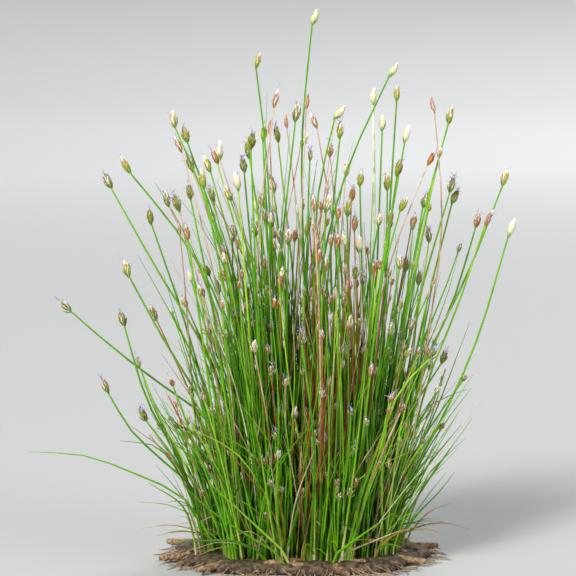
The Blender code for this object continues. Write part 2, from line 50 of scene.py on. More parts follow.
# Shader sums
class Paint:
    # wraps one socket of a material, so that sums on it add Math nodes

    def __init__(self, tree, socket=None):
        self.tree = tree
        self.socket = socket

    def node(self, kind, settings=None, inputs=None, output=0):
        # any node, with its settings and then the values or links of its sockets
        made = self.tree.nodes.new(kind)
        for name, value in (settings or {}).items():
            if name == "stops":
                elements = made.color_ramp.elements
                while len(elements) < len(value):
                    elements.new(1)
                for element, (place, colour) in zip(elements, value):
                    element.position = place
                    element.color = (*colour, 1)
            else:
                setattr(made, name, value)
        for name, value in (inputs or {}).items():
            if isinstance(value, Paint):
                self.tree.links.new(value.socket, made.inputs[name])
            else:
                made.inputs[name].default_value = value
        return Paint(self.tree, made.outputs[output])

    def maths(self, operation, first, second):
        return self.node("ShaderNodeMath", {"operation": operation}, {0: first, 1: second})

    def __add__(self, other):
        return self.maths("ADD", self, other)

    def __radd__(self, other):
        return self.maths("ADD", other, self)

    def __sub__(self, other):
        return self.maths("SUBTRACT", self, other)

    def __rsub__(self, other):
        return self.maths("SUBTRACT", other, self)

    def __mul__(self, other):
        return self.maths("MULTIPLY", self, other)

    def __rmul__(self, other):
        return self.maths("MULTIPLY", other, self)

    def between(self, low, high):  # 0 below low, 1 above high
        smooth = {"interpolation_type": "SMOOTHSTEP"}
        return self.node("ShaderNodeMapRange", smooth, {0: self, 1: low, 2: high})

    def blend(self, first, second):  # from the first colour to the second, as this goes from 0 to 1
        colours = {6: asColour(first), 7: asColour(second)}
        return self.node("ShaderNodeMix", {"data_type": "RGBA"}, {0: self, **colours}, 2)

    def mixed(self, other, share):  # this colour with a share of the other one
        return share.blend(self, other)

    def attribute(self, name):
        return self.node("ShaderNodeAttribute", {"attribute_name": name}, output="Fac")

    def place(self):
        return self.node("ShaderNodeTexCoord", output="Object")

    def mottle(self, scale, detail=2, stretch=(1, 1, 1)):  # a noise pattern, its scale in patches a metre
        spots = self.node("ShaderNodeMapping", None, {"Vector": self.place(), "Scale": stretch})
        return self.node("ShaderNodeTexNoise", None, {"Vector": spots, "Scale": scale, "Detail": detail})


def asColour(value):
    return value if isinstance(value, Paint) else (*value, 1)


def darkened(colour, share):
    return [part * share for part in colour]


def newMaterial(name, roughness, specular=0.5):
    material = bpy.data.materials.new(name)
    material.use_nodes = True
    shader = material.node_tree.nodes["Principled BSDF"]
    shader.inputs["Roughness"].default_value = roughness
    shader.inputs["Specular IOR Level"].default_value = specular
    return material, shader, Paint(material.node_tree)


def connect(paint, colour, shader, height=None, distance=0.05 * mm, strength=0.5):
    paint.tree.links.new(colour.socket, shader.inputs["Base Color"])
    if height:
        bump = {"Height": height, "Distance": distance, "Strength": strength}
        paint.tree.links.new(paint.node("ShaderNodeBump", None, bump).socket, shader.inputs["Normal"])


# Stem finishes: colours from the foot up, and how rough, thick and mottled each one is
stemLooks = {
    "green": {
        "stops": ((0.0, (0.20, 0.28, 0.04)), (0.06, (0.085, 0.23, 0.008)), (0.2, (0.06, 0.22, 0.003)),
                  (0.7, (0.075, 0.29, 0.004)), (1.0, (0.14, 0.40, 0.012))),
        "shade": (0.012, 0.075, 0.002), "light": (0.19, 0.52, 0.008), "streak": (0.08, 0.08, 0.01),
        "roughness": 0.30, "thickness": 1.0, "mottled": 0.32},
    "lime": {
        "stops": ((0.0, (0.74, 0.72, 0.50)), (0.09, (0.54, 0.60, 0.18)), (0.24, (0.20, 0.42, 0.01)),
                  (0.75, (0.19, 0.46, 0.008)), (1.0, (0.30, 0.50, 0.03))),
        "shade": (0.07, 0.26, 0.004), "light": (0.46, 0.74, 0.05), "streak": (0.26, 0.24, 0.03),
        "roughness": 0.30, "thickness": 0.95, "mottled": 0.32},
    "straw": {
        "stops": ((0.0, (0.26, 0.28, 0.07)), (0.12, (0.14, 0.21, 0.02)), (0.36, (0.27, 0.20, 0.05)),
                  (0.68, (0.48, 0.29, 0.14)), (1.0, (0.58, 0.38, 0.27))),
        "shade": (0.20, 0.085, 0.03), "light": (0.74, 0.58, 0.42), "streak": (0.19, 0.06, 0.02),
        "roughness": 0.5, "thickness": 0.74, "mottled": 0.6},
    "rust": {
        "stops": ((0.0, (0.22, 0.26, 0.05)), (0.28, (0.11, 0.16, 0.012)), (0.52, (0.24, 0.07, 0.012)),
                  (1.0, (0.36, 0.12, 0.035))),
        "shade": (0.085, 0.02, 0.007), "light": (0.50, 0.22, 0.04), "streak": (0.06, 0.015, 0.006),
        "roughness": 0.55, "thickness": 0.78, "mottled": 0.55},
    "pale": {
        "stops": ((0.0, (0.62, 0.60, 0.44)), (0.3, (0.66, 0.66, 0.40)), (0.7, (0.56, 0.60, 0.24)),
                  (1.0, (0.62, 0.50, 0.26))),
        "shade": (0.36, 0.34, 0.14), "light": (0.86, 0.86, 0.70), "streak": (0.36, 0.26, 0.12),
        "roughness": 0.5, "thickness": 0.8, "mottled": 0.5},
    "bleached": {  # the thick pale-flecked stem at the right of the middle: its pale flecks and paler top are painted highlight over its green
        "stops": ((0.0, (0.20, 0.28, 0.04)), (0.2, (0.10, 0.28, 0.006)), (0.6, (0.16, 0.42, 0.01)),
                  (0.8, (0.46, 0.66, 0.20)), (1.0, (0.62, 0.74, 0.40))),
        "shade": (0.10, 0.34, 0.01), "light": (0.88, 0.94, 0.76), "streak": (0.22, 0.46, 0.04),
        "roughness": 0.30, "thickness": 1.35, "mottled": 0.8},
}
stemPattern = {
    "specular": 0.3,
    "even tone": 0.55,  # stems of a lower tone are darker, and those of a higher one lighter; the darkening is partly each stem's own tone and partly painted shade, most of it low down
    "darker": 0.9,
    "less dark at the top": 0.5,
    "darkest after": 0.5,  # how far below the even tone
    "lighter": 0.62,
    "lightest after": 0.45,
    "fibres": (2600, 3, (1, 1, 0.05)),  # patches a metre, detail, and how they are stretched in X, Y and Z
    "streaks": (0.54, 0.70),
    "blotches": (330, 3, (1, 1, 0.5)),
    "dark blotches": 0.46,
    "dark blotch edge": 0.12,
    "light blotches": (0.52, 0.66),
}
paintedTuftShade = {  # painted shade: stems deep in the foot and middle of the tuft are darker, as the tuft shades them there
    "half width": 25 * mm,
    "half depth": 16 * mm,
    "height": 88 * mm,
    "full from": 0.9,  # where the oval's rim is 0 and its middle 1
    "share": 0.76,
    "colour": 0.3,  # of the finish's own shade
}


# painted shade: how deep a point lies in the foot and middle of the tuft
def paintedShadeInTuft(paint, shade):
    place = paint.place()
    x, y, z = (paint.node("ShaderNodeSeparateXYZ", None, {0: place}, word) for word in "XYZ")
    across, deep = x * (1 / shade["half width"]), y * (1 / shade["half depth"])
    inwards = (1 - (across * across + deep * deep)).between(0, shade["full from"])
    return inwards * (shade["height"] - z).between(0, shade["height"]) * shade["share"]


def stemMaterial(name, look, pattern):
    material, shader, paint = newMaterial(name + "_stem", look["roughness"], pattern["specular"])
    along, tone = paint.attribute("along"), paint.attribute("tone")
    fibres, blotches = paint.mottle(*pattern["fibres"]), paint.mottle(*pattern["blotches"])
    # partly painted shade: low-tone stems are darkened, most near their foot
    darker = (pattern["even tone"] - tone).between(0, pattern["darkest after"])
    darker = darker * (pattern["darker"] - pattern["less dark at the top"] * along)
    lighter = (tone - pattern["even tone"]).between(0, pattern["lightest after"]) * pattern["lighter"]
    dark = (pattern["dark blotches"] - blotches).between(0, pattern["dark blotch edge"])
    light = blotches.between(*pattern["light blotches"])
    colour = paint.node("ShaderNodeValToRGB", {"stops": look["stops"]}, {0: along})
    colour = colour.mixed(look["shade"], darker)
    colour = colour.mixed(look["light"], lighter)
    colour = colour.mixed(look["streak"], fibres.between(*pattern["streaks"]) * look["mottled"])
    colour = colour.mixed(look["shade"], dark * look["mottled"])
    colour = colour.mixed(look["light"], light * look["mottled"])
    # painted shade, darkest deep in the foot of the tuft
    colour = colour.mixed(darkened(look["shade"], paintedTuftShade["colour"]), paintedShadeInTuft(paint, paintedTuftShade))
    connect(paint, colour, shader, fibres)
    return material


# Head finishes: its foot, the keels of its scales, the flush beside them, and their pale edges and tips
headLooks = {
    "white": {"foot": (0.22, 0.44, 0.02), "keel": (0.62, 0.74, 0.36), "flush": (0.82, 0.54, 0.42),
              "edge": (0.90, 0.88, 0.84), "tip": 0.68, "size": 1.02, "width": 0.88, "hairs": 0},
    "spent": {"foot": (0.30, 0.26, 0.04), "keel": (0.80, 0.72, 0.40), "flush": (0.20, 0.05, 0.025),
              "edge": (0.92, 0.88, 0.78), "tip": 0.7, "size": 0.95, "width": 0.84, "hairs": 3},
    "green": {"foot": (0.16, 0.38, 0.01), "keel": (0.28, 0.46, 0.02), "flush": (0.46, 0.14, 0.03),
              "edge": (0.94, 0.88, 0.76), "tip": 0.66, "size": 1.0, "width": 0.90, "hairs": 5},
    "olive": {"foot": (0.12, 0.30, 0.01), "keel": (0.22, 0.31, 0.015), "flush": (0.19, 0.05, 0.03),
              "edge": (0.84, 0.74, 0.68), "tip": 0.78, "size": 0.98, "width": 0.96, "hairs": 26},
    "rust": {"foot": (0.40, 0.28, 0.03), "keel": (0.50, 0.23, 0.04), "flush": (0.18, 0.03, 0.02),
             "edge": (0.92, 0.80, 0.76), "tip": 0.66, "size": 0.95, "width": 0.84, "hairs": 11},
    "slim": {"foot": (0.50, 0.34, 0.20), "keel": (0.56, 0.32, 0.20), "flush": (0.32, 0.11, 0.06),
             "edge": (0.88, 0.76, 0.72), "tip": 0.78, "size": 0.92, "width": 0.60, "hairs": 0},
}
headPattern = {
    "roughness": 0.45,
    "specular": 0.35,
    "bump": 0.06 * mm,
    "stops": ((0.0, "keel"), (0.34, "keel"), (0.47, "flush"), (0.60, "flush"), (0.76, "edge")),
    "out to the edge": 0.9,  # how much this and three kinds of chance move the colour along its stops
    "by patches": 0.7,
    "by clouds": 0.6,
    "by tone": 0.4,
    "patches": (1900, 3),
    "clouds": (420, 2),
    "tip fades over": 0.25,
    "tip share": 0.8,
    "foot up to": 0.42,
    "foot wanders": 0.5,
    "foot fades over": 0.3,
    "foot share": 0.85,
}


def headMaterial(name, look, pattern):
    material, shader, paint = newMaterial(name + "_head", pattern["roughness"], pattern["specular"])
    along, tone, edge = (paint.attribute(word) for word in ("along", "tone", "edge"))
    patches, clouds = paint.mottle(*pattern["patches"]), paint.mottle(*pattern["clouds"])
    outwards = edge * pattern["out to the edge"] + (patches - 0.5) * pattern["by patches"]
    outwards = outwards + (clouds - 0.5) * pattern["by clouds"] + (tone - 0.5) * pattern["by tone"]
    tip = (along - look["tip"]).between(0, pattern["tip fades over"])
    foot = pattern["foot up to"] - along + (clouds - 0.5) * pattern["foot wanders"]
    stops = [(place, look[part]) for place, part in pattern["stops"]]
    colour = paint.node("ShaderNodeValToRGB", {"stops": stops}, {0: outwards})
    colour = colour.mixed(look["edge"], tip * pattern["tip share"])
    colour = colour.mixed(look["foot"], foot.between(0, pattern["foot fades over"]) * pattern["foot share"])
    connect(paint, colour, shader, patches, pattern["bump"])
    return material


hairLook = {
    "roughness": 0.5,
    "patches": 2000,
    "range": (0.4, 0.6),
    "dark": (0.12, 0.10, 0.24),
    "light": (0.50, 0.50, 0.82),
}


def hairMaterial(look):
    material, shader, paint = newMaterial("stigma_hair", look["roughness"])
    lighter = paint.mottle(look["patches"]).between(*look["range"])
    connect(paint, lighter.blend(look["dark"], look["light"]), shader)
    return material


finishes = {name: stemMaterial(name, look, stemPattern) for name, look in stemLooks.items()}
finishes.update({name + " head": headMaterial(name, look, headPattern) for name, look in headLooks.items()})
finishes["hair"] = hairMaterial(hairLook)
print("finishes of the stems and heads made")


# Pieces
sharpAngle = math.radians(75)  # faces that meet more sharply aren't smoothed into each other


def newPiece():
    bm = bmesh.new()
    for name in ("along", "tone", "edge"):
        bm.verts.layers.float.new(name)
    return {"bm": bm, "finishes": [], "aside": []}


def setAside(piece):
    # what has grown so far waits as a mesh, as each bmesh operator goes through all that its bmesh holds
    mesh = bpy.data.meshes.new("aside")
    piece["bm"].to_mesh(mesh)
    piece["bm"].free()
    piece["aside"].append(mesh)
    piece["bm"] = newPiece()["bm"]


def finishFaces(piece, verts, finish, tone):
    # gives the faces between these points a finish and a shade of their own
    if finish not in piece["finishes"]:
        piece["finishes"].append(finish)
    toneLayer = piece["bm"].verts.layers.float["tone"]
    index = piece["finishes"].index(finish)
    for vert in verts:
        vert[toneLayer] = tone
        for face in vert.link_faces:
            face.material_index = index
            face.smooth = True


def finishPiece(piece, name, slot, *replaced):
    bm = piece["bm"]
    for mesh in piece["aside"]:
        bm.from_mesh(mesh)
        bpy.data.meshes.remove(mesh)
    bmesh.ops.recalc_face_normals(bm, faces=bm.faces)
    mesh = bpy.data.meshes.new(name)
    bm.to_mesh(mesh)
    bm.free()
    mesh.set_sharp_from_angle(angle=sharpAngle)
    for finish in piece["finishes"]:
        mesh.materials.append(finishes[finish])
    made = bpy.data.objects.new(name, mesh)
    bpy.context.scene.collection.objects.link(made)
    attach(made, "root")
    if replaced:
        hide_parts(*replaced)


def firstFace(bm, sides, radius=1):
    started = bmesh.ops.create_circle(bm, cap_ends=True, segments=sides, radius=radius)["verts"]
    return started[0].link_faces[0]


def nextFace(bm, face, steps):
    # the face at the end of a growing form moves on, with new sides behind it
    if steps == 1:  # the first face stays as well, and closes the form's foot
        moved = bmesh.ops.extrude_face_region(bm, geom=[face])["geom"]
        return next(item for item in moved if isinstance(item, bmesh.types.BMFace))
    return bmesh.ops.extrude_discrete_faces(bm, faces=[face])["faces"][0]


def growTube(piece, places, radii, finish, tone, sides):
    # a closed tube through these places, from its foot up
    bm = piece["bm"]
    along = bm.verts.layers.float["along"]
    face = firstFace(bm, sides)
    corners = [vert.co.copy() for vert in face.verts]
    reached = lengthsAlong(places)
    heading, turn, grown = Vector((0, 0, 1)), Quaternion(), []
    for i, (place, radius) in enumerate(zip(places, radii)):
        ahead = (places[min(i + 1, len(places) - 1)] - places[max(i - 1, 0)]).normalized()
        turn = heading.rotation_difference(ahead) @ turn
        heading = ahead
        if i:
            face = nextFace(bm, face, i)
        for vert, corner in zip(face.verts, corners):
            vert.co = place + turn @ (corner * radius)
            vert[along] = reached[i] / reached[-1]
        grown += face.verts
    finishFaces(piece, grown, finish, tone)


def smoothPath(points, perSpan=8):
    # a curve through these points, with this many steps from each one to the next
    ends = [2 * points[0] - points[1], *points, 2 * points[-1] - points[-2]]
    path = [points[0]]
    for before, start, end, after in zip(ends, ends[1:], ends[2:], ends[3:]):
        for step in range(1, perSpan + 1):
            t = step / perSpan
            path.append(0.5 * (2 * start + (end - before) * t
                               + (2 * before - 5 * start + 4 * end - after) * t**2
                               + (3 * start - before - 3 * end + after) * t**3))
    return path


def lengthsAlong(path):
    # how far each point of the path is from its first one
    lengths = [0.0]
    for start, end in zip(path, path[1:]):
        lengths.append(lengths[-1] + (end - start).length)
    return lengths


def alongPath(path, shares):
    # the points at these shares of the path's length
    lengths = lengthsAlong(path)
    found, i = [], 0
    for share in shares:
        wanted = share * lengths[-1]
        while i < len(path) - 2 and lengths[i + 1] < wanted:
            i += 1
        found.append(path[i].lerp(path[i + 1], (wanted - lengths[i]) / (lengths[i + 1] - lengths[i])))
    return found


# Stems: the sheath at the foot is a little wider, with a mouth where the stem comes out of it
stemShape = {
    "sides": 6,
    "foot": 0.32 * mm,
    "sheath": 0.29 * mm,
    "stem": 0.265 * mm,
    "neck": 0.20 * mm,
    "neck taper": 4,  # the higher, the longer the stem keeps its thickness
    "leaf tip": 0.05 * mm,
    "leaf taper": 2.2,
    "sheath length": (5 * mm, 11 * mm),
    "longest sheath": 0.4,  # of the stem
    "mouth": 0.25 * mm,
    "section every": 8 * mm,
    "fewest sections": 7,
    "rooted": 1.7 * mm,
}


def growStem(piece, path, finish, tone, rng, headed, thickness=1.0):
    # a stem along a smooth path, up to its neck or to its pointed tip
    shape = stemShape
    rooted = [path[0] - Vector((0, 0, shape["rooted"])), *path]
    length = lengthsAlong(rooted)[-1]
    mouth = min(rng.uniform(*shape["sheath length"]) / length, shape["longest sheath"])
    count = max(shape["fewest sections"], round(length * (1 - mouth) / shape["section every"]))
    sheath = [0, mouth * 0.5, mouth]
    stem = [mouth + shape["mouth"] / length]
    stem += [mouth + (1 - mouth) * (k + 1) / count for k in range(count)]
    thin = shape["neck"] if headed else shape["leaf tip"]
    taper = shape["neck taper"] if headed else shape["leaf taper"]
    radii = [shape["foot"], shape["sheath"], shape["sheath"]]
    radii += [thin + (shape["stem"] - thin) * (1 - share**taper) for share in stem]
    thickness *= stemLooks[finish]["thickness"]
    growTube(piece, alongPath(rooted, sheath + stem), [radius * thickness for radius in radii], finish, tone,
             shape["sides"])
    setAside(piece)


# Heads: a core, scales that overlap up it in a spiral, and hairs on the fuzzy kinds
headShape = {
    "length": 4.5 * mm,
    "sunk": 0.4 * mm,  # how far its foot reaches down over the end of the stem
    "length varies": (0.88, 1.1),
    "width varies": (0.88, 1.12),
    "bulge": ((0.0, 0.22), (0.12, 0.46), (0.28, 0.72), (0.44, 0.78), (0.62, 0.62), (0.8, 0.36), (1.0, 0.06)),
    "core": 0.72,  # the core's radius as a share of the bulge, which is in mm
    "core sides": 5,
    "open core narrower": 0.5,
    "open core shorter": 0.3,
    "scales": 7,
    "turn": math.radians(137.5),
    "turn varies": 0.15,
    "spread varies": 0.12,
    "tone varies": 0.4,
    "first": 0.02,
    "last": 0.46,  # where the first and the last scale spring from, as shares of the length
    "scale length": 0.55,
    "sections": ((0.0, 0.20, 0.05), (0.34, 0.60, 0.17), (0.72, 0.46, 0.15), (1.0, 0.04, 0.03)),
    "seat": 0.86,  # of the bulge, under a scale
    "wrap": 0.42,
    "lift": 0.26,  # how far the lowest scale's tip stands off the head, in mm
    "open scales lower": 0.5,
    "open scales narrower": 0.5,
    "edge marks": (0.05, 0.95, 0.5, 0.95),  # the keel, an edge, the inner side and the other edge
    "tip mark": 0.85,
}
hairShape = {
    "sides": 3,
    "radius": 0.075 * mm,
    "thin end": 0.3,  # of the radius
    "length": (0.7 * mm, 1.9 * mm),
    "from": (0.3, 1),  # of the head's length
    "upright": 0.6,  # how much they follow the head's axis
    "count varies": (0.5, 1.3),
}
openHeads = {  # old heads low in the tuft stand open
    "ripe": (0.0, 0.16),  # how far open a head at the top of the tuft is
    "below": 74 * mm,  # heads lower than this are older and further open,
    "range": 34 * mm,  # and this much lower as far open as they get
    "spread": (0.1, 0.75),
    "smaller": 0.3,
    "white until": 0.35,  # a white head that is older than this looks spent
}


def bulgeAt(up):
    marks = headShape["bulge"]
    for (low, start), (high, end) in zip(marks, marks[1:]):
        if up <= high:
            return start + (end - start) * (up - low) / (high - low)
    return marks[-1][1]


def growScale(piece, head, outward, start, spread, tone):
    # one keeled scale: its corners are its keel, its two edges and its inner side
    bm, shape, width = piece["bm"], headShape, head["width"]
    edge, along = bm.verts.layers.float["edge"], bm.verts.layers.float["along"]
    aside = head["axis"].cross(outward)
    narrower = 1 - shape["open scales narrower"] * min(spread, 1)
    face, grown = firstFace(bm, len(shape["edge marks"])), []
    for i, (up, half, thick) in enumerate(shape["sections"]):
        if i:
            face = nextFace(bm, face, i)
        half *= narrower
        reached = start + up * shape["scale length"]
        risen = reached - shape["open scales lower"] * spread * up**2 * shape["scale length"]
        out = bulgeAt(reached) * shape["seat"] + shape["lift"] * up * (1 - start) ** 2 + spread * up
        middle = head["foot"] + head["axis"] * head["length"] * risen + outward * out * width
        corners = (outward * thick, aside * half - outward * shape["wrap"] * half,
                   outward * -thick, aside * -half - outward * shape["wrap"] * half)
        for vert, corner, mark in zip(face.verts, corners, shape["edge marks"]):
            vert.co = middle + corner * width
            vert[edge] = shape["tip mark"] if up == 1 else mark
            vert[along] = reached
        grown += face.verts
    finishFaces(piece, grown, head["finish"], tone)


def growHair(piece, head, size, tone, rng):
    # one of the thin hairs that stand off a fuzzy head
    shape = hairShape
    up, length = rng.uniform(*shape["from"]), rng.uniform(*shape["length"]) * size
    around = Vector((rng.uniform(-1, 1), rng.uniform(-1, 1), rng.uniform(-1, 1)))
    heading = (around + head["axis"] * shape["upright"]).normalized()
    turn = heading.to_track_quat("Z", "Y").to_matrix().to_4x4()
    middle = head["foot"] + head["axis"] * head["length"] * up + heading * length / 2
    thick, thin = shape["radius"], shape["radius"] * shape["thin end"]
    cone = bmesh.ops.create_cone(piece["bm"], cap_ends=True, segments=shape["sides"], radius1=thick,
                                 radius2=thin, depth=length, matrix=Matrix.Translation(middle) @ turn)
    finishFaces(piece, cone["verts"], "hair", tone)


def growHead(piece, top, axis, kind, tone, rng, size=1.0):
    # a spikelet on the top of a stem
    shape, foot = headShape, top - axis * headShape["sunk"]
    spent = min(max((openHeads["below"] - foot.z) / openHeads["range"], 0), 1)
    if kind == "white" and spent > openHeads["white until"]:
        kind = "spent"
    look = headLooks[kind]
    spread = rng.uniform(*openHeads["ripe"]) + spent * rng.uniform(*openHeads["spread"])
    size *= 1 - spread * openHeads["smaller"]
    head = {
        "foot": foot,
        "axis": axis,
        "length": shape["length"] * size * look["size"] * rng.uniform(*shape["length varies"]),
        "width": size * look["size"] * look["width"] * rng.uniform(*shape["width varies"]) * mm,
        "finish": kind + " head",
    }
    shorter = 1 - shape["open core shorter"] * min(spread, 1)
    core = shape["core"] * (1 - shape["open core narrower"] * min(spread, 1))
    growTube(piece, [foot + axis * head["length"] * up * shorter for up, _ in shape["bulge"]],
             [radius * core * head["width"] for _, radius in shape["bulge"]], head["finish"], tone,
             shape["core sides"])
    across, angle = axis.orthogonal().normalized(), rng.uniform(0, math.tau)
    for k in range(shape["scales"]):
        angle += shape["turn"] + rng.uniform(-1, 1) * shape["turn varies"]
        start = shape["first"] + (shape["last"] - shape["first"]) * k / (shape["scales"] - 1)
        scaleSpread = spread + rng.uniform(0, shape["spread varies"])
        scaleTone = min(max(tone + rng.uniform(-1, 1) * shape["tone varies"], 0), 1)
        growScale(piece, head, Quaternion(axis, angle) @ across, start, scaleSpread, scaleTone)
    for _ in range(round(look["hairs"] * rng.uniform(*hairShape["count varies"]) * size**2)):
        growHair(piece, head, size, tone, rng)
    setAside(piece)


# How each shoot's stems look, left to right: the stem's finish and, after a dash, its head's
shoots = {
    "tallest_culm": "green-white green",
    "centre_leaning_culm": "green green-white",
    "centre_shoot_1": "green-green green-green straw-slim",
    "centre_shoot_2": "green-olive straw-rust green",
    "centre_shoot_3": "green-olive lime-olive straw-slim",
    "centre_shoot_4": "green-olive straw-slim green",
    "centre_shoot_5": "green-olive lime-white straw",
    "centre_shoot_6": "straw-white green green",
    "centre_shoot_7": "green lime-white green-olive",
    "centre_shoot_8": "straw-rust straw-rust green",
    "centre_shoot_9": "green green-white green-green",
    "centre_shoot_10": "green-olive straw-rust rust-white green-green lime",
    "centre_shoot_11": "straw-white rust-rust green",
    "centre_shoot_12": "green-green rust-rust green-green green",
    "centre_shoot_13": "rust-white rust-white rust-olive straw-white",
    "centre_shoot_14": "lime bleached-white green-white green-green green-green",
    "centre_shoot_15": "straw green-olive green-white",
    "centre_shoot_16": "rust rust-olive straw",
    "centre_shoot_17": "lime lime-white straw",
    "centre_shoot_18": "green-olive lime-green green-rust green-olive",
    "centre_shoot_19": "straw-white rust-olive straw-white rust-white",
    "centre_shoot_20": "rust-rust green-olive green",
    "left_outer_culm": "green-olive",
    "left_high_culm": "green-green lime",
    "left_reaching_culm": "green-olive lime",
    "long_left_leaf": "green",
    "left_plantlet": "green-olive lime-white",
    "plantlet_leaves": "green rust green-olive",
    "left_low_culm": "green-olive",
    "left_bent_culm": "green-green",
    "left_shoot_1": "rust-olive green-olive lime",
    "left_shoot_2": "straw-rust green-green green-green straw-olive",
    "left_shoot_3": "green straw-olive green-rust",
    "left_shoot_4": "green-rust straw-olive green-olive green-green",
    "left_shoot_5": "green green-green lime-rust",
    "left_shoot_6": "straw-white green-green lime",
    "left_shoot_7": "straw-olive rust-rust lime-green",
    "left_shoot_8": "lime rust-rust",
    "left_shoot_9": "green green",
    "left_shoot_10": "rust-rust straw-olive",
    "left_short_leaves": "lime straw green",
    "left_arching_leaf": "green lime",
    "front_arching_leaf": "green",
    "front_left_leaves": "green lime",
    "front_right_leaves": "green straw",
    "right_pale_culm": "straw straw-slim",
    "right_high_culms": "green-rust green-green lime-rust",
    "right_outer_culm": "green green-white",
    "right_arching_leaf": "green lime-rust",
    "right_low_shoot": "lime green straw",
    "right_rust_shoot": "lime rust straw-rust",
    "right_shoot_1": "green-green green-olive green-olive",
    "right_shoot_2": "straw green-green straw-rust",
    "right_shoot_3": "green-olive rust-rust green-olive green-olive lime-olive",
    "right_shoot_4": "green-white green-green lime-white green-white lime-white",
    "right_shoot_5": "green-olive green green",
    "right_shoot_6": "straw lime-olive straw",
    "right_shoot_7": "green-white green straw",
    "right_shoot_8": "green",
}
shootShape = {
    "merge": 0.01 * mm,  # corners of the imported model's loose triangles that are this near are one
    "foot": 0.1 * mm,  # the feet of its stems are this near to its lowest point
    "head sections": 3,  # its heads are the last sections of their stems
    "tone": (0.35, 1),
}


def beside(verts):
    # the points that share an edge with these
    return {edge.other_vert(vert) for vert in verts for edge in vert.link_edges}


def stemsOf(node):
    # the middles of the sections of each stem of a packed shoot, from the left stem to the right one
    bm = bmesh.new()
    bm.from_mesh(frame["nodes"][node].data)
    bmesh.ops.remove_doubles(bm, verts=bm.verts, dist=shootShape["merge"])
    bm.verts.index_update()
    lowest = min(vert.co.z for vert in bm.verts)
    foot = {vert for vert in bm.verts if vert.co.z < lowest + shootShape["foot"]}
    foot |= beside(foot)
    starts = beside(foot) - foot
    stems = []
    while starts:
        ring, used, middles = {starts.pop()}, set(foot), []
        while beside(ring) & starts:  # the first ring is the points that touch each other just over the foot
            ring |= beside(ring) & starts
            starts -= ring
        while ring:
            corners = [vert.co for vert in sorted(ring, key=lambda vert: vert.index)]
            middles.append(sum(corners, Vector()) / len(corners))
            used |= ring
            ring = beside(ring) - used
        stems.append(middles)
    bm.free()
    return sorted(stems, key=lambda middles: middles[0].x)


def growShoot(node, words):
    # grows along the stems of one packed shoot, and gives back their smooth paths
    piece, rng, paths, top = newPiece(), random.Random(node), [], shootShape["head sections"]
    for middles, word in zip(stemsOf(node), words.split()):
        finish, _, head = word.partition("-")
        tone = rng.uniform(*shootShape["tone"])
        path = smoothPath(middles[:-top] if head else middles)
        paths.append(path)
        growStem(piece, path, finish, tone, rng, bool(head))
        if head:
            axis = (middles[-1] - middles[-top - 1]).normalized()
            growHead(piece, path[-1], axis, head, rng.random(), rng)
    finishPiece(piece, node + "_grown", slotOf[node], node)
    return paths


grownPaths = []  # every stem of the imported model, for the thinner stems that grow between them
for node, words in shoots.items():
    grownPaths += growShoot(node, words)
print("shoots of the packed model grown:", len(shoots))


# Thinner stems between the others, which fill the tuft
innerGrowth = {
    "inner_stems": {
        "seed": 11,
        "count": 1650,
        "pieces": 20,  # each one for an angle round the tuft
        "slot": "green_stem",
        "across": (-45 * mm, 41 * mm),
        "deep": (-40 * mm, 40 * mm),  # X and Y of the tips of the stems that they grow beside
        "height share": (0.24, 0.95),
        "finishes": {"green": 72, "lime": 15, "straw": 5, "rust": 4, "pale": 2},
        "heads": {"white": 1.3, "olive": 4, "rust": 3, "green": 3, "slim": 2},
    },
    "withered_stems": {
        "seed": 23,
        "count": 165,
        "pieces": 1,
        "slot": "rust_stem",
        "across": (1 * mm, 20 * mm),
        "deep": (-32 * mm, 2 * mm),
        "height share": (0.4, 0.9),
        "finishes": {"rust": 8, "straw": 1, "green": 3},
        "heads": {"white": 0.5, "rust": 4, "slim": 2},
    },
}
innerShape = {
    "steps": 12,
    "beside stems over": 28 * mm,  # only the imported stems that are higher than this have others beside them
    "tips count": 0.6,  # of what the feet count, in how near two stems are
    "neighbours": 9,
    "aside": (0, 0.85),  # how far over to the neighbour they grow
    "crossing": 0.6,  # this share of them lean across to one of more neighbours
    "crossing neighbours": 60,
    "crossing aside": (0.4, 1),
    "middle": 0.22,  # and this share grow between any two, so in the middle of the tuft
    "middle aside": (0.3, 0.7),
    "sway": 2.4 * mm,
    "mostly low": 1.25,  # above 1, more of them are low than high
    "thickness": (0.72, 1.0),
    "headed": 0.28,
    "head size": (0.55, 0.88),
}


def pick(rng, weights):
    return rng.choices(list(weights), list(weights.values()))[0]


def evenShares(steps):
    return [k / steps for k in range(steps + 1)]


def howFar(first, second, tipsCount):
    return (second[0] - first[0]).length + tipsCount * (second[-1] - first[-1]).length


def pathBetween(paths, shape, heights, rng):
    # a path beside that of one stem, towards another, and up to a share of their height
    first = rng.choice(paths)
    near = sorted(paths, key=lambda other: howFar(first, other, shape["tips count"]))
    crosses = rng.random() < shape["crossing"]
    second = rng.choice(near[1:shape["crossing neighbours"] if crosses else shape["neighbours"]])
    share = rng.uniform(*shape["aside"])
    reached = rng.uniform(*shape["crossing aside"]) if crosses else share
    if rng.random() < shape["middle"]:
        second, share = rng.choice(paths), rng.uniform(*shape["middle aside"])
        reached = share
    shift, bow = (Vector((rng.uniform(-1, 1), rng.uniform(-1, 1), 0)) * shape["sway"] for _ in range(2))
    shares, path = evenShares(shape["steps"]), []
    for up, a, b in zip(shares, first, second):
        path.append(a.lerp(b, share + (reached - share) * up) + shift * up + bow * math.sin(math.pi * up))
    height = heights[0] + (heights[1] - heights[0]) * rng.random() ** shape["mostly low"]
    return alongPath(path, [height * up for up in shares])


